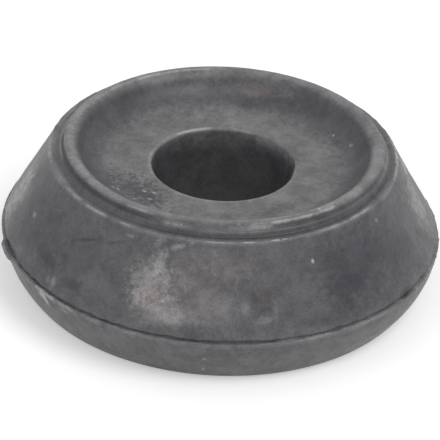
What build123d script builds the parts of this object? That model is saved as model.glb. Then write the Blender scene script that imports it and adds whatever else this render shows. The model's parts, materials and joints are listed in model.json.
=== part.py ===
"""A conical rubber bushing, moulded in one piece.

The bushing stands on its flat base with its bore along +Z and its origin in the
middle of the base. Everything is in millimetres.
"""

import os
from math import cos, radians, sin

from build123d import *

# Bore
bore_diameter = 20.0
bore_lip_chamfer = 0.3

# Overall heights, measured from the base
rim_height = 20.7
parting_height = 7.5

# Dished seat for the washer
seat_diameter = 31.0
seat_depth = 3.9

# Rim bead round the dish: an inner slope, a flat crest and a steep outer wall
rim_inner_diameter = 41.2
rim_slope_width = 1.0
rim_slope_drop = 0.6
rim_crest_width = 0.8
rim_wall_depth = 0.85
rim_wall_lean = 0.1
rim_shoulder_chamfer = 0.2

# Step, valley and ledge that go down outside the bead
step_width = 0.5
step_drop = 0.2
valley_width = 0.45
valley_drop = 0.5
ledge_width = 1.0
ledge_drop = 0.2
ledge_chamfer = 0.25

# Conical flank down to the parting line
flank_foot_diameter = 61.6
parting_crease = 0.3

# Lower half
flash_diameter = 62.8
flash_thickness = 0.35
lower_diameter = 62.4
base_diameter = 56.2
lower_bulge = 0.45
base_chamfer = 0.4

# Torn tab of flash left on the parting line, by its angle about the bore
tab_angle = 200.0
tab_spread = 12.0
tab_reach = 0.7

bore_radius = bore_diameter / 2
seat_radius = seat_diameter / 2
seat_height = rim_height - seat_depth
rim_inner_radius = rim_inner_diameter / 2
crest_inner_radius = rim_inner_radius + rim_slope_width
shoulder_radius = crest_inner_radius + rim_crest_width
rim_foot_radius = shoulder_radius + rim_wall_lean
step_radius = rim_foot_radius + step_width
valley_radius = step_radius + valley_width
ledge_radius = valley_radius + ledge_width
rim_foot_height = rim_height - rim_wall_depth
step_height = rim_foot_height - step_drop
valley_height = step_height - valley_drop
ledge_height = valley_height - ledge_drop
foot_radius = flank_foot_diameter / 2
flash_radius = flash_diameter / 2
lower_radius = lower_diameter / 2
base_radius = base_diameter / 2

with BuildPart() as bushing:
    # Half section in the XZ plane, drawn once round from the bore
    with BuildSketch(Plane.XZ) as section:
        with BuildLine() as outline:
            bore_foot = (bore_radius, 0)
            base_edge = (base_radius, 0)
            Line(bore_foot, base_edge)

            lower_edge = (lower_radius, parting_height - flash_thickness)
            SagittaArc(base_edge, lower_edge, -lower_bulge)

            flash_edge = (flash_radius, parting_height - flash_thickness / 2)
            crease = (foot_radius - parting_crease, parting_height)
            flank_foot = (foot_radius, parting_height + parting_crease)
            ledge_edge = (ledge_radius, ledge_height)
            Polyline(lower_edge, flash_edge, crease, flank_foot, ledge_edge)

            valley = (valley_radius, valley_height)
            step = (step_radius, step_height)
            rim_foot = (rim_foot_radius, rim_foot_height)
            shoulder = (shoulder_radius, rim_height)
            crest_inner = (crest_inner_radius, rim_height)
            rim_inner = (rim_inner_radius, rim_height - rim_slope_drop)
            Polyline(ledge_edge, valley, step, rim_foot, shoulder, crest_inner, rim_inner)

            seat_edge = (seat_radius, seat_height)
            bore_lip = (bore_radius, seat_height)
            TangentArc(seat_edge, rim_inner, tangent=(1, 0))
            Line(seat_edge, bore_lip)
            Line(bore_lip, bore_foot)
        make_face()
        base_corners = section.vertices().sort_by(Axis.Y)[:2]
        chamfer(base_corners.sort_by(Axis.X)[-1:], length=base_chamfer)
        lips = section.vertices().filter_by_position(Axis.X, bore_radius, bore_radius)
        chamfer(lips, length=bore_lip_chamfer)
        ledge_corner = section.vertices().filter_by_position(Axis.X, ledge_radius, ledge_radius)
        chamfer(ledge_corner, length=ledge_chamfer)
        rim_corner = section.vertices().filter_by_position(Axis.X, shoulder_radius, shoulder_radius)
        chamfer(rim_corner, length=rim_shoulder_chamfer)
    revolve(axis=Axis.Z)

    # Torn flash tab, a thin leaf that leaves the body at the parting line
    with BuildSketch(Plane.XY.offset(parting_height - flash_thickness)):
        with BuildLine():
            start = radians(tab_angle - tab_spread / 2)
            middle = radians(tab_angle)
            end = radians(tab_angle + tab_spread / 2)
            tip_radius = flash_radius + tab_reach
            Polyline(
                (foot_radius * cos(start), foot_radius * sin(start)),
                (flash_radius * cos(start), flash_radius * sin(start)),
                (tip_radius * cos(middle), tip_radius * sin(middle)),
                (flash_radius * cos(end), flash_radius * sin(end)),
                (foot_radius * cos(end), foot_radius * sin(end)),
                close=True,
            )
        make_face()
    extrude(amount=flash_thickness)

bushing.part.label = "bushing"

os.makedirs("parts", exist_ok=True)
export_step(bushing.part, "parts/bushing.step")
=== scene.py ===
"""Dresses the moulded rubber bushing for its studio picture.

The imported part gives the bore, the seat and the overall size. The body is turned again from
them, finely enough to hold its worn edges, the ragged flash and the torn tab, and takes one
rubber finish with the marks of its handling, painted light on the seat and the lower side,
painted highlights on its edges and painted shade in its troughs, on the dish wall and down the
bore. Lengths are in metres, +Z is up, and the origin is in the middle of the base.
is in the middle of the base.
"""

import json
import logging
import math
from dataclasses import dataclass
from enum import Enum
from typing import Optional, Union

import bpy
import numpy as np
from mathutils import Matrix, Vector

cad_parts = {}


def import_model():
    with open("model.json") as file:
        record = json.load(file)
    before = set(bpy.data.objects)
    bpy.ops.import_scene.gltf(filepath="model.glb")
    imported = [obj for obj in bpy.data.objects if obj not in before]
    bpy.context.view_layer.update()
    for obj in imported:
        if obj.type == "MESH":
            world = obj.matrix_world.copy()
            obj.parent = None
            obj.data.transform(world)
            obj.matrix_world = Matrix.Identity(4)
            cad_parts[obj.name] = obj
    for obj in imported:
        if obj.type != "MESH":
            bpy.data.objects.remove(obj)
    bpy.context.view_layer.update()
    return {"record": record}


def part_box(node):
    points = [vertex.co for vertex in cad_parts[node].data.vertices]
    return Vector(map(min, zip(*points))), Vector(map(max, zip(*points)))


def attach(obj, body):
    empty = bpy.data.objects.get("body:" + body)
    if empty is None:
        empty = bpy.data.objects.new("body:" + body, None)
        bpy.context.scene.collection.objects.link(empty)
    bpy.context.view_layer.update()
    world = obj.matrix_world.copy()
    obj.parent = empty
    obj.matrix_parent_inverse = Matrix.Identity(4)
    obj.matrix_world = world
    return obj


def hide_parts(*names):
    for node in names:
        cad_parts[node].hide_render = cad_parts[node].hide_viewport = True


MM = 0.001
NODE = "bushing"
STRAIGHT = 1e-9
GRADIENT_SPAN = 4.0
LEAST_DEPTH = 1.2 * MM
FADE = 1.3
SOFT_EDGE = 0.8
STREAK_CORE = 0.1
STREAK_RAGGED = 1.5
LEVELS = 40
ALL_ROUND = 400.0

log = logging.getLogger("bushing")

Colour = tuple[float, float, float]
Socket = bpy.types.NodeSocket
Feed = Union[Socket, float, Colour, Vector]


class Face(Enum):
    """Stretches of the half section, in the order in which the outline meets them."""

    BASE = "base"
    BASE_CORNER = "base corner"
    LOWER = "lower side"
    FLASH_UNDER = "underside of the flash"
    FLASH = "edge of the flash"
    FLASH_TOP = "top of the flash"
    CREASE = "crease over the flash"
    FOOT = "foot of the flank"
    FLANK = "flank"
    LEDGE_EDGE = "edge of the ledge"
    LEDGE = "ledge"
    VALLEY = "valley inside the ledge"
    STEP_WALL = "wall of the step"
    STEP = "step under the bead"
    BEAD_FOOT = "crease at the foot of the bead"
    BEAD_WALL = "outer wall of the bead"
    SHOULDER = "outer shoulder of the bead"
    CREST = "crest of the bead"
    BEAD = "inner slope of the bead"
    DISH = "wall of the dish"
    SEAT = "seat"
    LIP = "top lip of the bore"
    BORE = "bore wall"
    FOOT_LIP = "bottom lip of the bore"


class Push(Enum):
    """Directions in which a relief moves the surface."""

    NORMAL = "NORMAL"
    ACROSS = "X"
    BACK = "Y"


class Tone(Enum):
    """Colours of what lies on the rubber, and of the painted highlights, painted reflections and
    painted shade laid over it, linear.
    """

    # Chalk, scuff and haze also serve as painted highlights and painted reflections, and soot also
    # as painted shade.
    CHALK = (0.34, 0.325, 0.32)
    PINK = (0.36, 0.29, 0.29)
    HAZE = (0.19, 0.186, 0.19)
    WARM = (0.166, 0.152, 0.15)
    SOOT = (0.0215, 0.0205, 0.03)
    BROWN = (0.10, 0.06, 0.045)
    DIRT = (0.03, 0.018, 0.012)
    SCUFF = (0.42, 0.41, 0.40)
    MOSS = (0.12, 0.125, 0.095)
    DUST = (0.62, 0.61, 0.58)


@dataclass(frozen=True)
class Stretch:
    """One line or arc of the half section, from one (radius, height) to the next.

    A bulge above 0 swells out of the rubber, and one below 0 sinks into it.
    """

    face: Face
    start: tuple[float, float]
    end: tuple[float, float]
    rows: int
    bulge: float = 0.0

    def _half_turn(self) -> float:
        """Half the arc's angle, 0 for a line."""
        return 2.0 * math.atan2(2.0 * self.bulge, math.dist(self.start, self.end))

    def _chord(self, turn: float) -> tuple[float, float]:
        """Turns the chord of the stretch.

        Args:
            turn: the angle that it is turned by.

        Returns:
            The run and the rise from start to end.
        """
        run = self.end[0] - self.start[0]
        rise = self.end[1] - self.start[1]
        return (
            run * math.cos(turn) - rise * math.sin(turn),
            run * math.sin(turn) + rise * math.cos(turn),
        )

    def point(self, share: float) -> tuple[float, float]:
        """Where the stretch is at a share of its length.

        Args:
            share: 0 at its start, 1 at its end.

        Returns:
            The radius and the height there.
        """
        half = self._half_turn()
        size = share if abs(half) < STRAIGHT else math.sin(half * share) / math.sin(half)
        run, rise = self._chord(-half * (1.0 - share))
        return self.start[0] + size * run, self.start[1] + size * rise

    def heading(self, share: float) -> tuple[float, float]:
        """The way that the outline runs at a share of the stretch.

        Args:
            share: 0 at its start, 1 at its end.

        Returns:
            A unit pair, across and up.
        """
        run, rise = self._chord(-self._half_turn() * (1.0 - 2.0 * share))
        length = math.hypot(run, rise)
        return run / length, rise / length


@dataclass(frozen=True)
class Section:
    """The half section of the bushing, once round from the foot of the bore."""

    bore: float
    seat: float
    height: float
    reach: float
    lip: float = 0.4 * MM
    base: float = 28.0 * MM
    base_round: float = 0.45 * MM
    lower: float = 31.12 * MM
    lower_bulge: float = 0.46 * MM
    parting: float = 7.5 * MM
    crease: float = 0.14 * MM
    crease_half: float = 0.12 * MM
    foot: float = 30.8 * MM
    flank_hollow: float = 0.04 * MM
    ledge: float = 24.42 * MM
    ledge_drop: float = 1.72 * MM
    ledge_round: float = 0.2 * MM
    valley: float = 23.45 * MM
    valley_drop: float = 1.62 * MM
    step: float = 23.0 * MM
    step_drop: float = 1.07 * MM
    bead_foot: float = 22.52 * MM
    bead_depth: float = 0.87 * MM
    shoulder: float = 22.45 * MM
    shoulder_round: float = 0.18 * MM
    crest: float = 21.6 * MM
    bead_in: float = 20.5 * MM
    bead_drop: float = 0.66 * MM
    dish: float = 15.5 * MM

    @classmethod
    def from_part(cls, record: dict, low: Vector, high: Vector) -> "Section":
        """Takes the bore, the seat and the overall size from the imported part.

        Args:
            record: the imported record, with its mounts.
            low: the lowest corner of the part's box.
            high: the highest corner of the part's box.

        Returns:
            The section at the part's size.
        """
        mounts = {mount["name"]: mount for mount in record["mounts"]}
        return cls(
            bore=mounts["bore"]["dims"]["r_mm"] * MM,
            seat=mounts["washer_seat"]["pos_m"][2],
            height=high.z - low.z,
            reach=(high.x - low.x) / 2.0,
        )

    def stretches(self) -> list[Stretch]:
        """Draws the outline, with the rubber on its left.

        Returns:
            The stretches, each of which starts where the one before it ends.
        """
        base_in = (self.base - self.base_round, 0.0)
        base_out = (self.base + 0.62 * self.base_round, 0.86 * self.base_round)
        lower_top = (self.lower, self.parting - 0.75 * MM)
        flash_low = (self.reach - 0.14 * MM, self.parting - 0.44 * MM)
        flash_high = (self.reach - 0.15 * MM, self.parting - 0.2 * MM)
        crease_low = (self.foot - self.crease, self.parting - 0.1 * MM)
        crease_high = (self.foot - self.crease, self.parting + self.crease_half)
        foot = (self.foot, self.parting + self.crease_half + 0.22 * MM)
        ledge_height = self.height - self.ledge_drop
        ledge_out = (self.ledge + 0.15 * MM, ledge_height - self.ledge_round)
        ledge_in = (self.ledge - self.ledge_round, ledge_height + 0.02 * MM)
        valley_height = self.height - self.valley_drop
        valley_out = (self.valley + 0.15 * MM, valley_height)
        valley_in = (self.valley - 0.15 * MM, valley_height + 0.04 * MM)
        step_height = self.height - self.step_drop
        step_out = (self.step, step_height - 0.03 * MM)
        step_in = (self.bead_foot + 0.12 * MM, self.height - self.bead_depth - 0.03 * MM)
        bead_low = (self.bead_foot, self.height - self.bead_depth + 0.05 * MM)
        bead_out = (self.shoulder, self.height - 1.1 * self.shoulder_round)
        crest_out = (self.shoulder - self.shoulder_round, self.height - 0.03 * MM)
        crest_in = (self.crest, self.height - 0.03 * MM)
        bead_in = (self.bead_in, self.height - self.bead_drop)
        dish_foot = (self.dish, self.seat)
        wall = (bead_in[0] - self.dish, bead_in[1] - self.seat)
        dish_sag = 0.5 * math.hypot(*wall) * math.tan(0.5 * math.atan2(wall[1], wall[0]))
        seat_in = (self.bore + self.lip, self.seat)
        lip_low = (self.bore, self.seat - self.lip)
        foot_high = (self.bore, self.lip)
        foot_out = (self.bore + self.lip, 0.0)
        corner = (1.0 - math.cos(math.radians(45.0))) * self.lip
        return [
            Stretch(Face.BASE, foot_out, base_in, 4),
            Stretch(Face.BASE_CORNER, base_in, base_out, 5, 0.2 * self.base_round),
            Stretch(Face.LOWER, base_out, lower_top, 17, self.lower_bulge),
            Stretch(Face.FLASH_UNDER, lower_top, flash_low, 2),
            Stretch(Face.FLASH, flash_low, flash_high, 2, 0.03 * MM),
            Stretch(Face.FLASH_TOP, flash_high, crease_low, 3),
            Stretch(Face.CREASE, crease_low, crease_high, 3, -0.05 * MM),
            Stretch(Face.FOOT, crease_high, foot, 4, 0.08 * MM),
            Stretch(Face.FLANK, foot, ledge_out, 36, -self.flank_hollow),
            Stretch(Face.LEDGE_EDGE, ledge_out, ledge_in, 5, 0.1 * MM),
            Stretch(Face.LEDGE, ledge_in, valley_out, 3),
            Stretch(Face.VALLEY, valley_out, valley_in, 3, -0.06 * MM),
            Stretch(Face.STEP_WALL, valley_in, step_out, 3),
            Stretch(Face.STEP, step_out, step_in, 3, 0.04 * MM),
            Stretch(Face.BEAD_FOOT, step_in, bead_low, 2, -0.03 * MM),
            Stretch(Face.BEAD_WALL, bead_low, bead_out, 3),
            Stretch(Face.SHOULDER, bead_out, crest_out, 4, 0.2 * self.shoulder_round),
            Stretch(Face.CREST, crest_out, crest_in, 3, 0.02 * MM),
            Stretch(Face.BEAD, crest_in, bead_in, 5, 0.1 * MM),
            Stretch(Face.DISH, bead_in, dish_foot, 13, -dish_sag),
            Stretch(Face.SEAT, dish_foot, seat_in, 8),
            Stretch(Face.LIP, seat_in, lip_low, 4, corner),
            Stretch(Face.BORE, lip_low, foot_high, 6),
            Stretch(Face.FOOT_LIP, foot_high, foot_out, 2, corner),
        ]

    def stretch(self, face: Face) -> Stretch:
        """The stretch that draws one face."""
        return next(s for s in self.stretches() if s.face is face)

    def outline(self) -> list[tuple[float, float]]:
        """Divides the stretches into rows.

        Returns:
            The points of the whole outline, the last of which is the first again.
        """
        points = [self.stretches()[0].start]
        for stretch in self.stretches():
            points += [stretch.point((i + 1) / stretch.rows) for i in range(stretch.rows)]
        return points

    def place(self, face: Face, angle: float, share: float) -> Matrix:
        """Finds a place on the body.

        Args:
            face: the face that it is on.
            angle: its angle round the bore, in degrees from +X.
            share: how far along the face's stretch it is, 0 to 1.

        Returns:
            A matrix whose X runs round the bore, whose Y follows the outline, whose Z points
            out of the rubber, and whose translation is the place.
        """
        stretch = self.stretch(face)
        radius, height = stretch.point(share)
        run, rise = stretch.heading(share)
        turn = math.radians(angle)
        outward = Vector((math.cos(turn), math.sin(turn), 0.0))
        around = Vector((-math.sin(turn), math.cos(turn), 0.0))
        along = outward * run + Vector((0.0, 0.0, rise))
        matrix = Matrix((around, along, around.cross(along))).transposed().to_4x4()
        matrix.translation = outward * radius + Vector((0.0, 0.0, height))
        return matrix


@dataclass(frozen=True)
class Zone:
    """The part of the body near one circle of the section, faded out with distance.

    The angle is its middle and the spread its width, in degrees round the bore.
    """

    radius: float
    height: float
    reach: float
    angle: float = 0.0
    spread: float = ALL_ROUND
    core: float = 0.0

    def weights(self, places: np.ndarray) -> np.ndarray:
        """Weighs each vertex.

        Args:
            places: the vertices, one row each.

        Returns:
            1 on the circle, 0 beyond the reach or the spread.
        """
        radii = np.hypot(places[:, 0], places[:, 1])
        gaps = np.hypot(radii - self.radius, places[:, 2] - self.height) / self.reach
        near = np.clip((1.0 - gaps) / (1.0 - self.core), 0.0, 1.0)
        angles = np.degrees(np.arctan2(places[:, 1], places[:, 0]))
        turns = np.abs((angles - self.angle + 180.0) % 360.0 - 180.0)
        within = np.clip(2.0 - 2.0 * turns / self.spread, 0.0, 1.0)
        return near * near * (3.0 - 2.0 * near) * within * within * (3.0 - 2.0 * within)


@dataclass(frozen=True)
class Relief:
    """Unevenness of one zone of the body.

    A depth above 0 sinks the surface. Without a lump size the zone moves evenly. The middle is
    the share of the lumps that stays where it is.
    """

    name: str
    zone: Zone
    depth: float
    lump: Optional[float] = None
    contrast: float = 1.0
    middle: float = 0.0
    push: Push = Push.NORMAL


@dataclass(frozen=True)
class Mark:
    """A patch of another tone on one face, faded and broken up at its edge.

    The angle is in degrees round the bore from +X and the share is how far along the face it is.
    The length round the bore and the width along the outline are in millimetres, and the turn on
    the surface is in degrees.
    """

    face: Face
    angle: float
    share: float
    length: float
    width: float
    tone: Tone
    strength: float
    turn: float = 0.0
    ragged: float = 0.8


@dataclass(frozen=True)
class WearAndLightArc:
    """A streak along one circle of the section, broken by the grain. Some are wear and dirt, and
    some are painted highlights and painted shade.

    It runs from the start to the end, in degrees round the bore from +X, and its width is in
    millimetres. The broken share of it is what the grain breaks out.
    """

    face: Face
    share: float
    width: float
    start: float
    end: float
    tone: Tone
    strength: float
    broken: float = 0.5


@dataclass(frozen=True)
class Band:
    """Another colour all round one circle of the section, whole within its core."""

    face: Face
    share: float
    reach: float
    core: float
    colour: Colour
    strength: float


class Sheet:
    """Adds nodes to one tree, and links or sets their sockets."""

    def __init__(self, tree: bpy.types.NodeTree) -> None:
        """Keeps the tree."""
        self.tree = tree

    def feed(self, socket: Socket, value: Feed) -> None:
        """Links an input, or sets it.

        Args:
            socket: the input.
            value: the output that it is linked to, or its number, colour or vector.
        """
        if isinstance(value, bpy.types.NodeSocket):
            self.tree.links.new(value, socket)
        elif socket.type == "RGBA":
            socket.default_value = (*value, 1.0)
        else:
            socket.default_value = value

    def node(
        self,
        kind: str,
        feeds: Optional[dict[Union[str, int], Feed]] = None,
        **settings: object,
    ) -> bpy.types.Node:
        """Adds a node.

        Args:
            kind: its type.
            feeds: what its inputs take, by name or number.
            **settings: its properties.

        Returns:
            The node.
        """
        made = self.tree.nodes.new(kind)
        for name, value in settings.items():
            setattr(made, name, value)
        for key, value in (feeds or {}).items():
            self.feed(made.inputs[key], value)
        return made

    def math(self, operation: str, first: Feed, second: Feed = 0.0) -> Socket:
        """Works out a value from one or two."""
        return self.node("ShaderNodeMath", {0: first, 1: second}, operation=operation).outputs[0]

    def scaled(self, value: Feed, factor: Feed, base: Feed) -> Socket:
        """Adds a value, scaled, to a base."""
        feeds = {0: value, 1: factor, 2: base}
        return self.node("ShaderNodeMath", feeds, operation="MULTIPLY_ADD").outputs[0]

    def vector(self, operation: str, first: Feed, second: Feed = (0.0, 0.0, 0.0)) -> bpy.types.Node:
        """Adds a Vector Math node and returns it."""
        return self.node("ShaderNodeVectorMath", {0: first, 1: second}, operation=operation)

    def ramp(
        self,
        value: Feed,
        low: Feed,
        high: Feed,
        to_low: float = 0.0,
        to_high: float = 1.0,
    ) -> Socket:
        """Maps a value smoothly from one range to another.

        Args:
            value: what is mapped.
            low: the start of its range.
            high: the end of its range.
            to_low: what the start becomes.
            to_high: what the end becomes.

        Returns:
            The mapped value, held within its range.
        """
        feeds = {
            "Value": value,
            "From Min": low,
            "From Max": high,
            "To Min": to_low,
            "To Max": to_high,
        }
        made = self.node("ShaderNodeMapRange", feeds, interpolation_type="SMOOTHSTEP")
        return made.outputs["Result"]

    def noise(self, position: Feed, scale: float, detail: float, rough: float) -> Socket:
        """Adds a Noise Texture and returns its value, about 0.5 on the whole."""
        feeds = {"Vector": position, "Scale": scale, "Detail": detail, "Roughness": rough}
        return self.node("ShaderNodeTexNoise", feeds).outputs["Fac"]

    def cells(self, position: Feed, scale: Feed) -> bpy.types.Node:
        """Adds a Voronoi Texture and returns it."""
        feeds = {"Vector": position, "Scale": scale}
        return self.node("ShaderNodeTexVoronoi", feeds, feature="F1")

    def over(self, under: Feed, tone: Feed, factor: Feed) -> Socket:
        """Lays one colour over another."""
        feeds = {0: factor, 6: under, 7: tone}
        return self.node("ShaderNodeMix", feeds, data_type="RGBA", clamp_factor=True).outputs[2]

    def group(self, tree: bpy.types.NodeTree, **feeds: Feed) -> bpy.types.Node:
        """Places a node group and feeds its inputs by name."""
        return self.node("ShaderNodeGroup", feeds, node_tree=tree)

    def mask(self, tree: bpy.types.NodeTree, **feeds: Feed) -> Socket:
        """Places a node group and returns its mask."""
        return self.group(tree, **feeds).outputs["Mask"]


class Effects:
    """The node groups that the finish is put together from.

    A grain is a noise's scale, detail and roughness, and its height is its share of the bump.
    The edges of the pits and the specks are in parts of a cell.
    """

    fine_grain = (4200.0, 2.0, 0.6)
    middle_grain = (1100.0, 4.0, 0.65)
    broad_grain = (260.0, 3.0, 0.5)
    cloud_grain = (420.0, 4.0, 0.6)
    fine_height = 0.25
    middle_height = 0.55
    broad_height = 0.5
    pit_cells = 520.0
    pit_edge = (0.22, 0.04)
    speck_edge = (0.16, 0.06)
    tube_core = 0.3

    def __init__(self) -> None:
        """Builds each group once."""
        self.ring = self._ring()
        self.tube = self._tube()
        self.patch = self._patch()
        self.window = self._window()
        self.grain = self._grain()
        self.dust = self._dust()

    @staticmethod
    def _start(name: str, vectors: str, numbers: str, outputs: str = "Mask") -> tuple:
        """Opens a group with named sockets.

        Args:
            name: the group's name.
            vectors: the names of its vector inputs, a space apart.
            numbers: the names of its number inputs.
            outputs: the names of its outputs, all numbers.

        Returns:
            The tree, its sheet, the input node's outputs and the output node's inputs.
        """
        tree = bpy.data.node_groups.new(name, "ShaderNodeTree")
        sockets = [(label, "INPUT", "NodeSocketVector") for label in vectors.split()]
        sockets += [(label, "INPUT", "NodeSocketFloat") for label in numbers.split()]
        sockets += [(label, "OUTPUT", "NodeSocketFloat") for label in outputs.split()]
        for label, side, kind in sockets:
            tree.interface.new_socket(label, in_out=side, socket_type=kind)
        sheet = Sheet(tree)
        given = sheet.node("NodeGroupInput").outputs
        wanted = sheet.node("NodeGroupOutput").inputs
        return tree, sheet, given, wanted

    def _ring(self) -> bpy.types.NodeTree:
        """A band round one circle of the section.

        Returns:
            The group.
        """
        tree, sheet, given, wanted = self._start(
            "ring band", "Profile Circle", "Reach Core Shift Ragged"
        )
        distance = sheet.vector("DISTANCE", given["Profile"], given["Circle"]).outputs["Value"]
        share = sheet.math("DIVIDE", distance, given["Reach"])
        share = sheet.scaled(given["Shift"], given["Ragged"], share)
        sheet.feed(wanted["Mask"], sheet.ramp(share, 1.0, given["Core"]))
        return tree

    def _tube(self) -> bpy.types.NodeTree:
        """Everything near one cylinder round the bore.

        Returns:
            The group.
        """
        tree, sheet, given, wanted = self._start("tube", "Profile", "Radius Reach")
        parts = sheet.node("ShaderNodeSeparateXYZ", {0: given["Profile"]})
        gap = sheet.math("SUBTRACT", parts.outputs["X"], given["Radius"])
        share = sheet.math("DIVIDE", sheet.math("ABSOLUTE", gap), given["Reach"])
        sheet.feed(wanted["Mask"], sheet.ramp(share, 1.0, self.tube_core))
        return tree

    def _patch(self) -> bpy.types.NodeTree:
        """An oval at one place, whose edge the noise breaks up.

        A spherical gradient, larger than the oval, measures the distance from its middle.

        Returns:
            The group.
        """
        tree, sheet, given, wanted = self._start(
            "patch", "Position Place Turn Size", "Shift Ragged Soft"
        )
        feeds = {
            "Vector": given["Position"],
            "Location": given["Place"],
            "Rotation": given["Turn"],
            "Scale": given["Size"],
        }
        mapping = sheet.node("ShaderNodeMapping", feeds, vector_type="TEXTURE")
        feeds = {"Vector": mapping.outputs[0]}
        gradient = sheet.node("ShaderNodeTexGradient", feeds, gradient_type="SPHERICAL")
        far = sheet.scaled(given["Shift"], given["Ragged"], GRADIENT_SPAN)
        edge = sheet.scaled(gradient.outputs["Fac"], -GRADIENT_SPAN, far)
        inner = sheet.math("SUBTRACT", 1.0, given["Soft"])
        sheet.feed(wanted["Mask"], sheet.ramp(edge, 1.0, inner))
        return tree

    def _window(self) -> bpy.types.NodeTree:
        """A share of the turn round the bore, open about one direction.

        Returns:
            The group.
        """
        tree, sheet, given, wanted = self._start("window", "Way Facing", "Narrow Full")
        cosine = sheet.vector("DOT_PRODUCT", given["Way"], given["Facing"]).outputs["Value"]
        sheet.feed(wanted["Mask"], sheet.ramp(cosine, given["Narrow"], given["Full"]))
        return tree

    def _grain(self) -> bpy.types.NodeTree:
        """The skin of moulded rubber: fine grain, soft lumps and small pits.

        Returns:
            The group.
        """
        tree, sheet, given, wanted = self._start(
            "moulded grain", "Position", "Pits", "Height Mottle"
        )
        fine = sheet.noise(given["Position"], *self.fine_grain)
        middle = sheet.noise(given["Position"], *self.middle_grain)
        broad = sheet.noise(given["Position"], *self.broad_grain)
        cells = sheet.cells(given["Position"], self.pit_cells)
        pit = sheet.ramp(cells.outputs["Distance"], *self.pit_edge)
        dug = sheet.math("MULTIPLY", pit, given["Pits"])
        skin = sheet.math("MULTIPLY", fine, self.fine_height)
        skin = sheet.math("ADD", skin, sheet.math("MULTIPLY", middle, self.middle_height))
        skin = sheet.math("ADD", skin, sheet.math("MULTIPLY", broad, self.broad_height))
        sheet.feed(wanted["Height"], sheet.math("SUBTRACT", skin, dug))
        clouds = sheet.noise(given["Position"], *self.cloud_grain)
        mottle = sheet.math("ADD", middle, clouds)
        mottle = sheet.math("ADD", mottle, sheet.math("ADD", fine, broad))
        sheet.feed(wanted["Mottle"], sheet.math("MULTIPLY", mottle, 0.25))
        return tree

    def _dust(self) -> bpy.types.NodeTree:
        """A few pale specks, scattered.

        Returns:
            The group.
        """
        tree, sheet, given, wanted = self._start("dust", "Position", "Scale Share")
        cells = sheet.cells(given["Position"], given["Scale"])
        chance = sheet.node("ShaderNodeSeparateColor", {0: cells.outputs["Color"]})
        size = sheet.ramp(cells.outputs["Distance"], *self.speck_edge)
        few = sheet.math("LESS_THAN", chance.outputs[0], given["Share"])
        sheet.feed(wanted["Mask"], sheet.math("MULTIPLY", size, few))
        return tree


@dataclass(frozen=True)
class Surface:
    """What each mark reads at a point of the surface, laid once and shared by all of them.

    The profile is the point's radius and height, the way is its direction from the bore, and the
    shift is the breakup noise about 0.
    """

    sheet: Sheet
    effects: Effects
    section: Section
    position: Socket
    profile: Socket
    way: Socket
    breakup: Socket
    shift: Socket

    @classmethod
    def lay(cls, sheet: Sheet, section: Section, grain: tuple) -> "Surface":
        """Lays the shared nodes.

        Args:
            sheet: the material's sheet.
            section: the section, on which the marks find their places.
            grain: the scale, the detail and the roughness of the breakup noise.

        Returns:
            The surface with their sockets.
        """
        position = sheet.node("ShaderNodeTexCoord").outputs["Object"]
        breakup = sheet.noise(position, *grain)
        shift = sheet.math("SUBTRACT", breakup, 0.5)
        flat = sheet.vector("MULTIPLY", position, (1.0, 1.0, 0.0)).outputs[0]
        way = sheet.vector("NORMALIZE", flat).outputs[0]
        radius = sheet.vector("LENGTH", flat).outputs["Value"]
        parts = sheet.node("ShaderNodeSeparateXYZ", {0: position})
        feeds = {"X": radius, "Y": parts.outputs["Z"]}
        profile = sheet.node("ShaderNodeCombineXYZ", feeds)
        return cls(sheet, Effects(), section, position, profile.outputs[0], way, breakup, shift)

    def ring(
        self,
        circle: tuple[float, float],
        reach: float,
        core: float,
        ragged: float,
    ) -> Socket:
        """Masks a band round one circle of the section.

        Args:
            circle: the radius and the height of the circle.
            reach: how far from it the band ends.
            core: the share of the reach within which the band is whole.
            ragged: how far the grain breaks up its edge.

        Returns:
            The mask.
        """
        return self.sheet.mask(
            self.effects.ring,
            Profile=self.profile,
            Circle=Vector((*circle, 0.0)),
            Reach=reach,
            Core=core,
            Shift=self.shift,
            Ragged=ragged,
        )

    def patch(self, mark: Mark) -> Socket:
        """Masks one patch.

        Args:
            mark: the patch.

        Returns:
            How strongly it covers the rubber.
        """
        place = self.section.place(mark.face, mark.angle, mark.share)
        turned = place @ Matrix.Rotation(math.radians(mark.turn), 4, "Z")
        length = 0.5 * FADE * mark.length * MM
        width = 0.5 * FADE * mark.width * MM
        depth = max(min(length, width), LEAST_DEPTH)
        mask = self.sheet.mask(
            self.effects.patch,
            Position=self.position,
            Place=place.translation,
            Turn=Vector(turned.to_euler("XYZ")),
            Size=GRADIENT_SPAN * Vector((length, width, depth)),
            Shift=self.shift,
            Ragged=2.0 * mark.ragged,
            Soft=SOFT_EDGE,
        )
        return self.sheet.math("MULTIPLY", mask, mark.strength)

    def arc(self, arc: WearAndLightArc, gap: Socket) -> Socket:
        """Masks one streak.

        Args:
            arc: the streak.
            gap: what the grain leaves of it.

        Returns:
            How strongly it covers the rubber.
        """
        turn = math.radians(0.5 * (arc.start + arc.end))
        half = math.radians(0.5 * FADE * abs(arc.end - arc.start))
        circle = self.section.stretch(arc.face).point(arc.share)
        ring = self.ring(circle, 0.5 * arc.width * MM, STREAK_CORE, STREAK_RAGGED)
        window = self.sheet.mask(
            self.effects.window,
            Way=self.way,
            Facing=Vector((math.cos(turn), math.sin(turn), 0.0)),
            Narrow=math.cos(half),
            Full=math.cos(0.5 * half),
        )
        drawn = self.sheet.math("MULTIPLY", self.sheet.math("MULTIPLY", ring, window), gap)
        return self.sheet.math("MULTIPLY", drawn, arc.strength)


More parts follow.
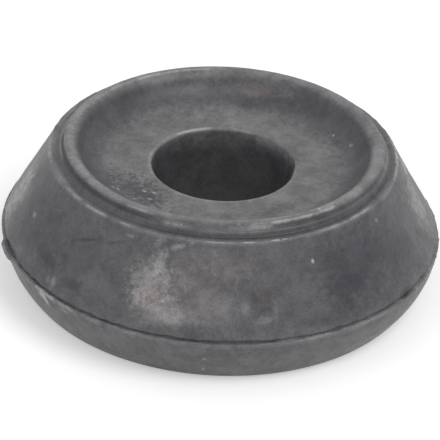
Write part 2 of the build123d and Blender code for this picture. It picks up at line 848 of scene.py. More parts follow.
@dataclass(frozen=True)
class Marks:
    """What handling, wear and dirt have left on the rubber, with painted highlights and painted
    shade.

    The gaps in a streak open where the breakup noise is low, and wider where more is broken.
    """

    patches: tuple[Mark, ...]
    arcs: tuple[WearAndLightArc, ...]
    gap_start: float = 0.3
    gap_rise: float = 0.25
    gap_edge: float = 0.12

    def lay(self, surface: Surface, colour: Socket) -> Socket:
        """Lays each mark over the colour.

        Args:
            surface: what the marks read.
            colour: the colour so far.

        Returns:
            The colour with the marks on it.
        """
        sheet = surface.sheet
        for mark in self.patches:
            colour = sheet.over(colour, mark.tone.value, surface.patch(mark))
        gaps: dict[float, Socket] = {}
        for arc in self.arcs:
            if arc.broken not in gaps:
                low = self.gap_start + self.gap_rise * arc.broken
                high = low + self.gap_edge
                gaps[arc.broken] = sheet.ramp(surface.breakup, low, high, 1.0 - arc.broken)
            colour = sheet.over(colour, arc.tone.value, surface.arc(arc, gaps[arc.broken]))
        return colour


@dataclass(frozen=True)
class RubberFinish:
    """Black moulded rubber, greyed by bloom and handling, with painted light, painted highlights
    and painted shade.
    """

    name: str = "moulded rubber"
    black: Colour = (0.0785, 0.0765, 0.0835)
    # painted light: the grey of the lit seat and of the lower side lit by the floor
    painted_light_grey: Colour = (0.146, 0.144, 0.148)
    # wear with painted highlights: the grey of the crest, the lips and the edges
    wear_and_highlight_grey: Colour = (0.19, 0.188, 0.194)
    # painted shade: the dark laid down the bore
    bore_shade: Colour = (0.0515, 0.051, 0.0545)
    breakup: tuple[float, float, float] = (1300.0, 6.0, 0.72)
    roughness: float = 0.46
    rough_spread: float = 0.3
    specular: float = 0.5
    bump: float = 0.5
    bump_depth: float = 0.2 * MM
    pits: float = 0.25
    mottle: float = 0.36
    mottle_range: tuple[float, float] = (0.38, 0.62)
    speck_scale: float = 330.0
    speck_share: float = 0.02
    speck_cover: float = 0.2
    band_ragged: float = 0.9
    bore_reach: float = 0.4 * MM
    bore_depth: float = 1.12
    bore_core: float = 0.3
    bore_ragged: float = 0.1

    def build(self, section: Section, marks: Marks) -> bpy.types.Material:
        """Makes the material.

        Args:
            section: the section, on which the marks find their places.
            marks: the marks of handling, with painted highlights and painted shade.

        Returns:
            The finished material.
        """
        material = bpy.data.materials.new(self.name)
        material.use_nodes = True
        material.node_tree.nodes.clear()
        sheet = Sheet(material.node_tree)
        surface = Surface.lay(sheet, section, self.breakup)
        effects = surface.effects
        grain = sheet.group(effects.grain, Position=surface.position, Pits=self.pits)
        colour = marks.lay(surface, self._faces(surface))
        specks = sheet.mask(
            effects.dust,
            Position=surface.position,
            Scale=self.speck_scale,
            Share=self.speck_share,
        )
        dusty = sheet.math("MULTIPLY", specks, self.speck_cover)
        colour = sheet.over(colour, Tone.DUST.value, dusty)
        spread = (1.0 - self.mottle, 1.0 + self.mottle)
        mottle = sheet.ramp(grain.outputs["Mottle"], *self.mottle_range, *spread)
        mottled = sheet.vector("SCALE", colour)
        sheet.feed(mottled.inputs["Scale"], mottle)
        rough = sheet.scaled(surface.shift, self.rough_spread, self.roughness)
        bump = sheet.node(
            "ShaderNodeBump",
            {
                "Strength": self.bump,
                "Distance": self.bump_depth,
                "Height": grain.outputs["Height"],
            },
        )
        shader = sheet.node(
            "ShaderNodeBsdfPrincipled",
            {
                "Base Color": mottled.outputs[0],
                "Roughness": rough,
                "Specular IOR Level": self.specular,
                "Normal": bump.outputs["Normal"],
            },
        )
        sheet.node("ShaderNodeOutputMaterial", {"Surface": shader.outputs["BSDF"]})
        return material

    def _bands(self) -> tuple[Band, ...]:
        """Painted light on the seat and the lower side, painted highlights with wear on the edges,
        and painted shade on the dish wall and, with some dirt, in the troughs.

        Returns:
            The bands, from the first laid to the last.
        """
        shade_and_soot = Tone.SOOT.value
        return (
            # painted light on the upward-facing seat
            Band(Face.SEAT, 0.5294, 5.4 * MM, 0.45, self.painted_light_grey, 1.0),
            # painted highlights, with wear, on the crest, the top lip, the ledge edge and the step
            Band(Face.CREST, 0.8, 1.5 * MM, 0.2, self.wear_and_highlight_grey, 0.8),
            Band(Face.LIP, 0.4, 0.75 * MM, 0.15, self.wear_and_highlight_grey, 1.0),
            Band(Face.LEDGE_EDGE, 0.5, 0.6 * MM, 0.1, self.wear_and_highlight_grey, 0.55),
            Band(Face.STEP, 0.4, 0.45 * MM, 0.1, self.wear_and_highlight_grey, 0.35),
            # painted shade, with some dirt, in the troughs round the bead and the ledge
            Band(Face.BEAD_FOOT, 0.5, 0.5 * MM, 0.1, shade_and_soot, 0.25),
            Band(Face.VALLEY, 0.5, 0.5 * MM, 0.1, shade_and_soot, 0.2),
            # painted light from the pale floor on the lower side
            Band(Face.LOWER, 0.5, 6.0 * MM, 0.4, self.painted_light_grey, 0.5),
            # painted shade on the wall of the dish
            Band(Face.DISH, 0.42, 2.8 * MM, 0.2, shade_and_soot, 0.19),
            # painted highlight, with wear, on the edge of the flash
            Band(Face.FLASH, 0.5, 0.7 * MM, 0.1, self.wear_and_highlight_grey, 0.5),
        )

    def _faces(self, surface: Surface) -> Socket:
        """Lays the bands over the black, and paints shade down the bore, darkest towards its foot.

        Args:
            surface: what the bands read.

        Returns:
            The colour of the bare rubber, face by face.
        """
        sheet = surface.sheet
        section = surface.section
        colour: Feed = self.black
        for band in self._bands():
            circle = section.stretch(band.face).point(band.share)
            mask = surface.ring(circle, band.reach, band.core, self.band_ragged)
            colour = sheet.over(colour, band.colour, sheet.math("MULTIPLY", mask, band.strength))
        # painted shade down the bore, darkest towards its foot
        depth = self.bore_depth * section.seat
        foot = (section.bore, 0.0)
        within = surface.ring(foot, depth, self.bore_core, self.bore_ragged)
        near_bore = sheet.mask(
            surface.effects.tube,
            Profile=surface.profile,
            Radius=section.bore,
            Reach=self.bore_reach,
        )
        deep = sheet.math("MULTIPLY", within, near_bore)
        return sheet.over(colour, self.bore_shade, deep)


@dataclass
class Body:
    """The moulded body, turned from its section and then worn."""

    section: Section
    finish: RubberFinish
    marks: Marks
    reliefs: tuple[Relief, ...]
    steps: int = 640
    smooth_angle: float = 55.0
    merge_distance: float = 1e-6

    def build(self) -> bpy.types.Object:
        """Makes, wears and dresses the body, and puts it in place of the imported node.

        Returns:
            The finished object.
        """
        body = self._turn()
        for relief in self.reliefs:
            self._wear(body, relief)
        bpy.ops.object.shade_smooth_by_angle(angle=math.radians(self.smooth_angle))
        body.data.materials.append(self.finish.build(self.section, self.marks))
        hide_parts(NODE)
        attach(body, "root")
        return body

    def _turn(self) -> bpy.types.Object:
        """Draws the outline point by point and spins it about the bore.

        Returns:
            The turned body, active and selected.
        """
        points = self.section.outline()
        bpy.ops.object.select_all(action="DESELECT")
        radius, height = points[0]
        bpy.ops.mesh.primitive_plane_add(size=MM, location=(radius, 0.0, height))
        body = bpy.context.object
        body.name = "rubber_body"
        bpy.ops.object.transform_apply(location=True, rotation=True, scale=True)
        bpy.ops.object.mode_set(mode="EDIT")
        bpy.ops.mesh.select_mode(type="VERT")
        bpy.ops.mesh.select_all(action="SELECT")
        bpy.ops.mesh.merge(type="CENTER")
        for last, point in zip(points, points[1:]):
            step = (point[0] - last[0], 0.0, point[1] - last[1])
            bpy.ops.mesh.extrude_region_move(TRANSFORM_OT_translate={"value": step})
        bpy.ops.mesh.select_all(action="SELECT")
        bpy.ops.mesh.spin(
            steps=self.steps,
            angle=math.tau,
            center=(0.0, 0.0, 0.0),
            axis=(0.0, 0.0, 1.0),
        )
        bpy.ops.mesh.select_all(action="SELECT")
        bpy.ops.mesh.remove_doubles(threshold=self.merge_distance)
        bpy.ops.mesh.normals_make_consistent(inside=False)
        bpy.ops.object.mode_set(mode="OBJECT")
        return body

    def _wear(self, body: bpy.types.Object, relief: Relief) -> None:
        """Moves one zone of the surface.

        Args:
            body: the turned body, active and selected.
            relief: where, how far and how unevenly it moves.
        """
        places = np.empty(len(body.data.vertices) * 3, np.float32)
        body.data.vertices.foreach_get("co", places)
        weights = relief.zone.weights(places.reshape(-1, 3).astype(float))
        group = body.vertex_groups.new(name=relief.name)
        levels = np.round(weights * LEVELS).astype(int)
        for level in range(1, LEVELS + 1):
            group.add(np.nonzero(levels == level)[0].tolist(), level / LEVELS, "REPLACE")
        modifier = body.modifiers.new(relief.name, "DISPLACE")
        modifier.vertex_group = group.name
        modifier.direction = relief.push.value
        modifier.mid_level = 0.0 if relief.lump is None else relief.middle
        modifier.strength = -relief.depth
        if relief.lump is not None:
            clouds = bpy.data.textures.new(relief.name, "CLOUDS")
            clouds.noise_scale = relief.lump
            clouds.noise_depth = 3
            clouds.contrast = relief.contrast
            modifier.texture = clouds
            modifier.texture_coords = "LOCAL"
        bpy.ops.object.modifier_apply(modifier=modifier.name)
        body.vertex_groups.remove(body.vertex_groups[relief.name])


@dataclass(frozen=True)
class Lamp:
    """A square lamp that faces the bushing."""

    name: str
    place: Vector
    size: float
    power: float

    def hang(self) -> None:
        """Makes the lamp and hangs it at its place."""
        light = bpy.data.lights.new(self.name, "AREA")
        light.size = self.size
        light.energy = self.power
        lamp = bpy.data.objects.new(self.name, light)
        lamp.location = self.place
        lamp.rotation_euler = (-self.place).to_track_quat("-Z", "Y").to_euler()
        bpy.context.scene.collection.objects.link(lamp)


@dataclass(frozen=True)
class Studio:
    """A pale floor, soft lamps and a white surround."""

    floor_size: float = 6.0
    floor_tone: Colour = (0.86, 0.86, 0.86)
    floor_rough: float = 0.9
    floor_glow: float = 0.35
    surround: float = 0.6
    white: Colour = (1.0, 1.0, 1.0)
    lamps: tuple[Lamp, ...] = (
        Lamp("key", Vector((0.25, -0.2, 0.5)), 0.3, 1.1),
        Lamp("fill", Vector((-0.5, -0.3, 0.25)), 0.35, 0.25),
    )

    def build(self) -> None:
        """Lays the floor and lights it."""
        self._floor()
        self._world()
        for lamp in self.lamps:
            lamp.hang()

    @staticmethod
    def _seen(sheet: Sheet) -> Socket:
        """Tells what the camera sees, by itself, in gloss or through glass.

        Args:
            sheet: the sheet of the floor or the surround.

        Returns:
            1 where it is seen, 0 where it only lights.
        """
        path = sheet.node("ShaderNodeLightPath").outputs
        seen = sheet.math("MAXIMUM", path["Is Camera Ray"], path["Is Glossy Ray"])
        return sheet.math("MAXIMUM", seen, path["Is Transmission Ray"])

    def _floor(self) -> None:
        """A plain pale floor that the camera sees as white where no shadow lies."""
        bpy.ops.object.select_all(action="DESELECT")
        bpy.ops.mesh.primitive_plane_add(size=self.floor_size, location=(0.0, 0.0, 0.0))
        floor = bpy.context.object
        floor.name = "floor"
        material = bpy.data.materials.new("pale floor")
        material.use_nodes = True
        sheet = Sheet(material.node_tree)
        shader = material.node_tree.nodes["Principled BSDF"]
        sheet.feed(shader.inputs["Base Color"], self.floor_tone)
        sheet.feed(shader.inputs["Roughness"], self.floor_rough)
        sheet.feed(shader.inputs["Specular IOR Level"], 0.0)
        glow = sheet.math("MULTIPLY", self._seen(sheet), self.floor_glow)
        sheet.feed(shader.inputs["Emission Color"], self.white)
        sheet.feed(shader.inputs["Emission Strength"], glow)
        floor.data.materials.append(material)

    def _world(self) -> None:
        """A white surround, dimmer where it only lights the rubber."""
        world = bpy.data.worlds.new("surround")
        bpy.context.scene.world = world
        world.use_nodes = True
        sheet = Sheet(world.node_tree)
        background = world.node_tree.nodes["Background"]
        strength = sheet.ramp(self._seen(sheet), 0.0, 1.0, self.surround, 1.0)
        sheet.feed(background.inputs["Color"], self.white)
        sheet.feed(background.inputs["Strength"], strength)


@dataclass(frozen=True)
class PhotoCamera:
    """The camera at the photograph's angle, fitted to the outline of the bushing."""

    aim: Vector = Vector((0.0, 0.0, 7.43 * MM))
    distance: float = 307.5 * MM
    elevation: float = 31.525
    roll: float = 2.783
    lens: float = 175.51
    sensor: float = 36.0
    near: float = 0.01
    far: float = 20.0

    def build(self) -> None:
        """Places the camera and gives it to the scene."""
        tilt = math.radians(self.elevation)
        roll = math.radians(self.roll)
        back = Vector((0.0, -math.cos(tilt), math.sin(tilt)))
        right = Vector((1.0, 0.0, 0.0))
        up = back.cross(right)
        turned_right = right * math.cos(roll) + up * math.sin(roll)
        turned_up = up * math.cos(roll) - right * math.sin(roll)
        matrix = Matrix((turned_right, turned_up, back)).transposed().to_4x4()
        matrix.translation = self.aim + back * self.distance
        data = bpy.data.cameras.new("photo camera")
        data.lens = self.lens
        data.sensor_width = self.sensor
        data.clip_start = self.near
        data.clip_end = self.far
        camera = bpy.data.objects.new("photo camera", data)
        camera.matrix_world = matrix
        bpy.context.scene.collection.objects.link(camera)
        bpy.context.scene.camera = camera


def body_reliefs(section: Section) -> tuple[Relief, ...]:
    """How the moulding has shifted, sagged and worn.

    Args:
        section: the section, whose circles the zones follow.

    Returns:
        The reliefs in the order in which they are made.
    """
    flash = section.parting - 0.32 * MM
    ledge = section.height - section.ledge_drop - 0.1 * MM
    middle = 0.5 * (section.parting + ledge)
    tab = (section.reach - 0.15 * MM, flash)
    foot = (section.reach, section.parting - 3.0 * MM)
    left = (30.2 * MM, section.parting + 2.0 * MM)
    right = (30.9 * MM, section.parting - 3.0 * MM)
    lower = (30.5 * MM, 3.6 * MM)
    flank = (27.6 * MM, middle)
    crease = (section.foot - 0.1 * MM, section.parting + 0.1 * MM)
    bead = (section.crest, section.height - 0.3 * MM)
    lip = (section.bore, section.seat)
    shoulder = (section.shoulder, section.height - 0.2 * MM)
    return (
        Relief("lower shift", Zone(*foot, 9.0 * MM, core=0.45), -0.14 * MM, push=Push.ACROSS),
        Relief("bead drift", Zone(*bead, 2.6 * MM, core=0.5), -0.1 * MM, push=Push.ACROSS),
        Relief("bead lean", Zone(*bead, 2.6 * MM, core=0.5), 0.12 * MM, push=Push.BACK),
        Relief("left swell", Zone(*left, 3.6 * MM, 180.0, 60.0, 0.2), -0.1 * MM),
        Relief("right swell", Zone(*right, 3.6 * MM, -33.0, 26.0, 0.3), -0.1 * MM),
        Relief("flank sag", Zone(*flank, 6.6 * MM, core=0.2), 0.2 * MM, 9.0 * MM, middle=0.5),
        Relief("flank lumps", Zone(*flank, 6.8 * MM, core=0.1), 0.08 * MM, 2.0 * MM, middle=0.5),
        Relief("lower sag", Zone(*lower, 3.4 * MM, core=0.1), 0.12 * MM, 6.0 * MM, middle=0.5),
        Relief("ledge wear", Zone(section.ledge, ledge, 0.6 * MM), 0.12 * MM, 1.5 * MM, 1.6, 0.5),
        Relief("shoulder wear", Zone(*shoulder, 0.7 * MM), 0.05 * MM, 2.0 * MM, 1.6, 0.3),
        Relief("flash wear", Zone(section.reach, flash, 0.4 * MM), 0.28 * MM, 1.3 * MM, 1.8, 0.12),
        Relief("crease waver", Zone(*crease, 0.7 * MM), 0.4 * MM, 1.8 * MM, 1.6, 0.5),
        Relief("torn tab", Zone(*tab, 0.5 * MM, 199.8, 6.5, 0.2), -0.55 * MM),
        Relief("bore wear", Zone(*lip, 2.6 * MM, 38.0, 45.0), 0.5 * MM),
    )


def flank_bloom() -> tuple[Mark, ...]:
    """The pale bloom down the front of the flank, and the haze round it.

    Returns:
        The patches, from the first laid to the last.
    """
    # Each row: angle, share, length, width, tone, strength, turn, ragged
    rows = (
        (-104.5, 0.28, 11, 6.5, Tone.HAZE, 0.4, 0, 0.6),
        (-103.2, 0.22, 8.6, 3.4, Tone.HAZE, 0.72, 0, 0.5),
        (-101.5, 0.24, 7.2, 3.4, Tone.CHALK, 0.6, 0, 0.4),
        (-94, 0.3, 8, 5, Tone.HAZE, 0.35, 0, 0.5),
        (-95, 0.55, 9, 10, Tone.WARM, 0.6),
        (-98.9, 0.58, 3, 2, Tone.HAZE, 0.3),
        (-108.4, 0.52, 7.4, 8.2, Tone.HAZE, 0.62, 0, 0.8),
        (-106.9, 0.72, 2, 4.8, Tone.CHALK, 0.55, 0, 1),
        (-107, 0.74, 1.4, 1.6, Tone.CHALK, 0.5, 0, 1.4),
        (-108.5, 0.5, 6.4, 4.6, Tone.CHALK, 0.35, 0, 1.6),
        (-111, 0.34, 3, 2, Tone.CHALK, 0.4, 0, 1.4),
        (-107.8, 0.34, 4.8, 3.2, Tone.PINK, 0.3, 0, 1.2),
        (-102.8, 0.38, 2.4, 1.2, Tone.CHALK, 0.7, 0, 1.4),
        (-108, 0.94, 1, 3, Tone.HAZE, 0.6, -35),
        (-102.3, 0.93, 3.2, 0.8, Tone.CHALK, 0.4, 22, 1.2),
        (-106.5, 0.89, 2.2, 1.2, Tone.SOOT, 0.45, 25),
        (-117.7, 0.92, 1.2, 0.6, Tone.CHALK, 0.35),
        (-119.5, 0.55, 3, 6, Tone.SOOT, 0.2, 0, 1.6),
    )
    return tuple(Mark(Face.FLANK, *row) for row in rows)


def flank_left() -> tuple[Mark, ...]:
    """The smudges and scuffs on the left of the flank, and a painted reflection along its left
    edge.

    Returns:
        The patches, from the first laid to the last.
    """
    # Each row: angle, share, length, width, tone, strength, turn, ragged
    rows = (
        # painted reflection along the left edge of the flank
        (-177, 0.35, 7, 11, Tone.CHALK, 0.7),
        (-155, 0.25, 8, 5.5, Tone.SOOT, 0.35),
        (-150, 0.5, 18, 11, Tone.SOOT, 0.34),
        (-160, 0.62, 6, 7, Tone.SOOT, 0.3),
        (-162.5, 0.72, 8, 4.5, Tone.SOOT, 0.15),
        (-157.5, 0.67, 3.2, 1.4, Tone.SOOT, 0.4, 20, 1.4),
        (-145, 0.28, 7, 2.6, Tone.SOOT, 0.45, 0, 1.4),
        (-141.5, 0.26, 4, 2.2, Tone.SOOT, 0.8, 0, 1.2),
        (-130.8, 0.195, 5.5, 1.5, Tone.SOOT, 0.7, 8, 1.2),
        (-150.5, 0.4, 6, 1, Tone.SOOT, 0.3, 20, 1.4),
        (-148.5, 0.62, 5, 0.8, Tone.SOOT, 0.3, 22, 1.4),
        (-135.5, 0.42, 5, 1.6, Tone.SOOT, 0.3, 5, 1.6),
        (-132, 0.69, 5.5, 0.55, Tone.SOOT, 0.8, 24, 0.5),
        (-122, 0.8, 5, 0.5, Tone.SOOT, 0.4, 24, 1.2),
        (-147.6, 0.77, 2.2, 0.4, Tone.HAZE, 0.4, 23),
        (-157.5, 0.5, 1.3, 0.8, Tone.CHALK, 0.5),
        (-141.6, 0.57, 2.5, 1.6, Tone.HAZE, 0.25),
        (-137.2, 0.1, 1, 1.6, Tone.HAZE, 0.6),
        (-139.4, 0.085, 0.8, 1.6, Tone.HAZE, 0.45),
        (-153.3, 0.1, 5, 1.6, Tone.HAZE, 0.3),
    )
    return tuple(Mark(Face.FLANK, *row) for row in rows)


def flank_right() -> tuple[Mark, ...]:
    """The stains, the smudges and the speck on the right of the flank, and painted reflections
    along its right edge.

    Returns:
        The patches, from the first laid to the last.
    """
    # Each row: angle, share, length, width, tone, strength, turn, ragged
    rows = (
        (-48, 0.55, 15, 12, Tone.SOOT, 0.62),
        (-32, 0.5, 12, 11, Tone.SOOT, 0.33),
        # painted reflections along the right edge of the flank
        (-4, 0.45, 7, 9, Tone.CHALK, 0.5),
        (5, 0.8, 5, 3, Tone.SCUFF, 0.5),
        (-84, 0.75, 9, 5, Tone.WARM, 0.35),
        (-86.2, 0.28, 6.5, 4.5, Tone.HAZE, 0.3),
        (-77.5, 0.45, 3.4, 2.4, Tone.BROWN, 0.3, 0, 1),
        (-79.9, 0.45, 1, 2, Tone.SOOT, 0.5),
        (-76.4, 0.31, 1.9, 0.8, Tone.SOOT, 0.4),
        (-82, 0.33, 1.6, 2.5, Tone.HAZE, 0.45),
        (-77.5, 0.2, 3, 1.2, Tone.HAZE, 0.5),
        (-74.2, 0.28, 0.8, 3.5, Tone.HAZE, 0.45),
        (-53.1, 0.36, 6.5, 4.2, Tone.SOOT, 0.45, 0, 1.2),
        (-49.5, 0.41, 4, 1.8, Tone.SOOT, 0.6, -25),
        (-55.5, 0.35, 1.3, 3, Tone.SOOT, 0.5),
        (-58.3, 0.45, 2, 2, Tone.SOOT, 0.3),
        (-53.3, 0.18, 5, 2, Tone.SOOT, 0.35),
        (-43.1, 0.88, 3, 1.5, Tone.SOOT, 0.25),
        (-54.5, 0.67, 4, 2.5, Tone.SOOT, 0.3),
        (-64, 0.1, 6, 1.8, Tone.SOOT, 0.25),
        (-31.7, 0.67, 2, 1, Tone.SOOT, 0.3),
        (-61.9, 0.785, 0.5, 0.35, Tone.SOOT, 0.8),
        (-61.5, 0.735, 0.45, 0.7, Tone.SCUFF, 0.9),
    )
    return tuple(Mark(Face.FLANK, *row) for row in rows)


def lower_marks() -> tuple[Mark, ...]:
    """The dirt at the parting line, the specks under it, the pale bits of the torn flash, partly
    painted highlight, and a painted shadow under the flash.

    Returns:
        The patches, from the first laid to the last.
    """
    lower = Face.LOWER
    # Each row: face, angle, share, length, width, tone, strength, turn, ragged
    rows = (
        (Face.FOOT, -33, 0.5, 3, 1.2, Tone.DIRT, 0.8),
        (Face.FOOT, -23, 0.5, 2.5, 0.6, Tone.BROWN, 0.5),
        (lower, -91, 0.25, 12, 3, Tone.MOSS, 0.35),
        (lower, -92.5, 0.3, 0.6, 1, Tone.CHALK, 0.8),
        (lower, -92.4, 0.68, 0.6, 0.5, Tone.CHALK, 0.6),
        (lower, -131.8, 0.33, 1, 2, Tone.HAZE, 0.5),
        (lower, -35, 0.7, 9, 3, Tone.BROWN, 0.3),
        # pale and dark bits of the torn flash, the pale ones partly painted highlight
        (lower, -139, 0.93, 3.2, 1.3, Tone.SCUFF, 0.9, -35, 1.6),
        (lower, -136.2, 0.9, 2, 1.3, Tone.SOOT, 0.6, -30, 1.2),
        (lower, -131, 0.94, 2.2, 1, Tone.CHALK, 0.55, -25, 1.2),
        # painted shadow under the torn flash
        (lower, -148, 0.9, 4, 1.2, Tone.SOOT, 0.45, -35, 1.4),
        (lower, -13, 0.85, 3, 0.6, Tone.CHALK, 0.5, -30),
    )
    return tuple(Mark(*row) for row in rows)


def dish_marks() -> tuple[Mark, ...]:
    """The stains, the scarred patch and the specks in the dish.

    Returns:
        The patches, from the first laid to the last.
    """
    dish = Face.DISH
    seat = Face.SEAT
    # Each row: face, angle, share, length, width, tone, strength, turn, ragged
    rows = (
        (dish, 76, 0.27, 8, 2.4, Tone.PINK, 0.22),
        (dish, 88, 0.3, 3, 2, Tone.WARM, 0.2),
        (dish, 102, 0.3, 5, 3, Tone.WARM, 0.2),
        (dish, 64, 0.22, 3, 1.8, Tone.HAZE, 0.5),
        (dish, 79, 0.74, 4.6, 1.2, Tone.SOOT, 0.35, 0, 1.6),
        (dish, 128, 0.85, 13, 4, Tone.HAZE, 0.3),
        (seat, 93, 0.5, 14, 5.5, Tone.HAZE, 0.6),
        (seat, -145, 0.1, 12, 6, Tone.SOOT, 0.22, 0, 1.2),
        (seat, -142, 0.25, 9.5, 4.8, Tone.SOOT, 0.75, 0, 3.4),
        (seat, -130, 0.2, 4.5, 3, Tone.SOOT, 0.45, 0, 2.6),
        (dish, -158, 0.8, 5, 1.8, Tone.SOOT, 0.45, 0, 2.6),
        (seat, -55, 0.3, 5, 2.2, Tone.SOOT, 0.5, 0, 2.8),
        (seat, -31.6, 0.2, 6, 3.4, Tone.SOOT, 0.24),
        (seat, -117, 0.45, 5, 3, Tone.HAZE, 0.3, 0, 1.6),
        (seat, -141, 0.36, 0.9, 0.55, Tone.SCUFF, 0.8, 20),
        (seat, -135.7, 0.52, 0.8, 0.5, Tone.SCUFF, 0.7, 20),
        (seat, -132.3, 0.21, 0.8, 0.5, Tone.SCUFF, 0.7, 20),
        (dish, -137.5, 0.9, 0.6, 0.5, Tone.CHALK, 0.6, 20),
        (dish, -151, 0.75, 0.6, 0.4, Tone.CHALK, 0.6),
        (dish, 28.5, 0.6, 0.4, 0.4, Tone.SCUFF, 0.8),
        (dish, 0.5, 0.32, 0.35, 0.35, Tone.CHALK, 0.8),
        (dish, -148.6, 0.81, 0.8, 0.5, Tone.SCUFF, 0.85),
        (Face.CREST, -53.3, 0.5, 0.35, 1.1, Tone.DUST, 0.9, 0, 0.3),
    )
    return tuple(Mark(*row) for row in rows)


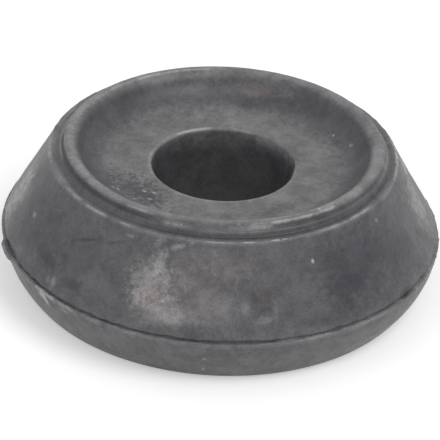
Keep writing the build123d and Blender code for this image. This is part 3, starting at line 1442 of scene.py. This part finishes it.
def rim_streaks() -> tuple[WearAndLightArc, ...]:
    """The wear along the crest, the shoulder and the ledge, with painted highlights on the rim and
    the top lip of the bore, painted shade on the dish wall and down the bore, painted shade with
    some dirt in the troughs, and smudges on the seat.

    Returns:
        The streaks, from the first laid to the last.
    """
    bead = Face.BEAD
    foot = Face.BEAD_FOOT
    step = Face.STEP
    edge = Face.LEDGE_EDGE
    wall = Face.BEAD_WALL
    shoulder = Face.SHOULDER
    # Each row: face, share, width, start, end, tone, strength, broken
    rows = (
        # painted shade on the wall of the dish
        (Face.DISH, 0.3, 3.6, 5, 75, Tone.SOOT, 0.25, 0.2),
        (Face.DISH, 0.3, 3.4, 125, 205, Tone.SOOT, 0.08, 0.2),
        # painted highlight on the back of the bead's inner slope
        (bead, 0.9, 3.2, 66, 130, Tone.HAZE, 0.45, 0.2),
        (bead, 0.65, 1.3, -104, -68, Tone.SOOT, 0.4, 0.3),
        (bead, 0.8, 1.4, -131, -110, Tone.SOOT, 0.35, 0.4),
        # painted highlight on the left of the bead
        (bead, 0.05, 1.6, 152, 216, Tone.CHALK, 0.32, 0.2),
        (Face.SEAT, 0.25, 2.6, -105, -42, Tone.SOOT, 0.36, 0.7),
        # painted shade, with some dirt, in the troughs round the bead
        (foot, 0.5, 1.3, -197, -112, Tone.SOOT, 0.65, 0.1),
        (foot, 0.5, 1.9, -171, -138, Tone.SOOT, 0.5, 0.1),
        (step, 0.5, 1.6, -166, -110, Tone.SOOT, 0.5, 0.2),
        (foot, 0.5, 1, -72, -24, Tone.SOOT, 0.2, 0.1),
        (step, 0.5, 1.5, -74, -18, Tone.SOOT, 0.3, 0.15),
        # painted light on the step at the right
        (step, 0.5, 2.6, -12, 24, Tone.HAZE, 0.45, 0.3),
        # painted shade, with some dirt, in the troughs
        (Face.STEP_WALL, 0.6, 2, -72, -38, Tone.SOOT, 0.2, 0.2),
        (Face.VALLEY, 0.5, 1.1, -114, -72, Tone.SOOT, 0.4, 0.1),
        (Face.VALLEY, 0.5, 0.8, -38, -14, Tone.SOOT, 0.4, 0.1),
        (wall, 0.2, 1.4, -112, -72, Tone.HAZE, 0.5, 0.4),
        # painted highlight on the step at the left, and painted reflections on the step and the
        # ledge at the back left
        (step, 0.4, 0.5, -178, -166, Tone.CHALK, 0.35, 0.3),
        (step, 0.4, 2.6, 138, 178, Tone.HAZE, 0.5, 0.3),
        (Face.LEDGE, 0.5, 1.6, 150, 186, Tone.HAZE, 0.45, 0.3),
        # painted highlights on the top lip of the bore
        (Face.LIP, 0.1, 0.7, 101, 130, Tone.SCUFF, 0.9, 0.2),
        (Face.LIP, 0.1, 0.7, 160, 205, Tone.CHALK, 0.3, 0.2),
        # painted shade down the bore
        (Face.BORE, 0.1, 5, 12, 74, Tone.SOOT, 0.45, 0.2),
        (Face.BORE, 0.1, 5, 132, 184, Tone.SOOT, 0.45, 0.2),
        # painted highlight on the back of the bead
        (bead, 0.2, 0.7, 98, 126, Tone.SCUFF, 0.6, 0.3),
        (bead, 0.2, 0.8, 124, 150, Tone.CHALK, 0.35, 0.3),
        (shoulder, 0.2, 0.5, -123, -113, Tone.SCUFF, 0.6, 0.5),
        (foot, 0.5, 1.3, -109, -99, Tone.SCUFF, 0.55, 0.6),
        (wall, 0.3, 1.2, -87, -79, Tone.CHALK, 0.5, 0.5),
        (wall, 0.5, 1.3, -80, -72.5, Tone.SCUFF, 0.7, 0.4),
        # painted highlight, with wear, on the shoulder and the crest at the front right
        (shoulder, 0.1, 0.6, -72.5, -66.5, Tone.SCUFF, 1, 0.2),
        (shoulder, 0.1, 0.55, -66.5, -58, Tone.SCUFF, 0.9, 0.3),
        (shoulder, 0.1, 0.55, -59, -48, Tone.SCUFF, 0.9, 0.3),
        (Face.CREST, 0.6, 2, -56, -20, Tone.CHALK, 0.37, 0.3),
        # wear and painted highlights along the edge of the ledge
        (edge, 0.8, 0.7, -182, -166, Tone.CHALK, 0.5, 0.3),
        (Face.LEDGE, 0.4, 1.3, -167, -147, Tone.HAZE, 0.6, 0.5),
        (edge, 0.8, 0.9, -150, -141, Tone.CHALK, 0.55, 0.4),
        (edge, 0.5, 0.7, -137.5, -128.5, Tone.CHALK, 0.75, 0.5),
        (edge, 0.5, 0.5, -122.5, -119, Tone.CHALK, 0.6, 0.5),
        (edge, 0.5, 0.45, -94, -86, Tone.CHALK, 0.6, 0.6),
        (edge, 0.6, 0.45, -82.5, -79, Tone.SCUFF, 0.7, 0.5),
        (edge, 0.7, 0.5, -73.5, -71, Tone.SCUFF, 0.8, 0.4),
        (edge, 0.7, 0.45, -70, -68.4, Tone.SCUFF, 0.7, 0.4),
        (edge, 0.9, 0.5, -67, -58.5, Tone.CHALK, 0.5, 0.6),
        (edge, 0.8, 0.8, -57.5, -49.5, Tone.SCUFF, 0.7, 0.6),
        (edge, 0.7, 0.5, -50, -43.5, Tone.CHALK, 0.6, 0.7),
        (edge, 0.8, 0.7, -43.5, -34.5, Tone.SCUFF, 0.7, 0.4),
        (edge, 0.5, 0.8, -13, 14, Tone.SCUFF, 0.7, 0.2),
    )
    return tuple(WearAndLightArc(*row) for row in rows)


def flash_streaks() -> tuple[WearAndLightArc, ...]:
    """Where the ragged flash catches the light, painted as highlights, and the painted shade, with
    some dirt, in the crease over it.

    Returns:
        The streaks, from the first laid to the last.
    """
    flash = Face.FLASH
    crease = Face.CREASE
    # Each row: face, share, width, start, end, tone, strength, broken
    rows = (
        # painted shade, with some dirt, in the crease over the flash
        (crease, 0.5, 0.9, -132, -62, Tone.SOOT, 0.28, 0.5),
        (crease, 0.5, 0.7, -52, -14, Tone.SOOT, 0.12, 0.4),
        # painted highlights where the ragged flash catches the light
        (flash, 0.5, 1.1, -142, -135, Tone.SCUFF, 0.9, 0.4),
        (flash, 0.5, 1, -133, -128, Tone.SCUFF, 0.7, 0.5),
        (flash, 0.5, 0.6, -124, -118.5, Tone.CHALK, 0.35, 0.6),
        (flash, 0.5, 0.6, -113, -102.5, Tone.CHALK, 0.4, 0.6),
        (flash, 0.5, 0.5, -66, -59, Tone.CHALK, 0.35, 0.6),
        (flash, 0.5, 0.6, -53, -40, Tone.CHALK, 0.45, 0.6),
    )
    return tuple(WearAndLightArc(*row) for row in rows)


def marks_and_painted_light() -> Marks:
    """What the years have left on this bushing, with the painted highlights and painted shade.

    Returns:
        The marks, from the first laid to the last.
    """
    patches = flank_bloom() + flank_left() + flank_right() + lower_marks() + dish_marks()
    return Marks(patches, rim_streaks() + flash_streaks())


def main() -> None:
    """Builds the studio picture of the bushing."""
    logging.basicConfig(level=logging.INFO, format="%(name)s: %(message)s")
    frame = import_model()
    low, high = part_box(NODE)
    section = Section.from_part(frame["record"], low, high)
    body = Body(section, RubberFinish(), marks_and_painted_light(), body_reliefs(section)).build()
    log.info("%s has %d faces", body.name, len(body.data.polygons))
    Studio().build()
    PhotoCamera().build()
    bpy.context.scene.view_settings.view_transform = "Standard"


if __name__ == "__main__":
    main()
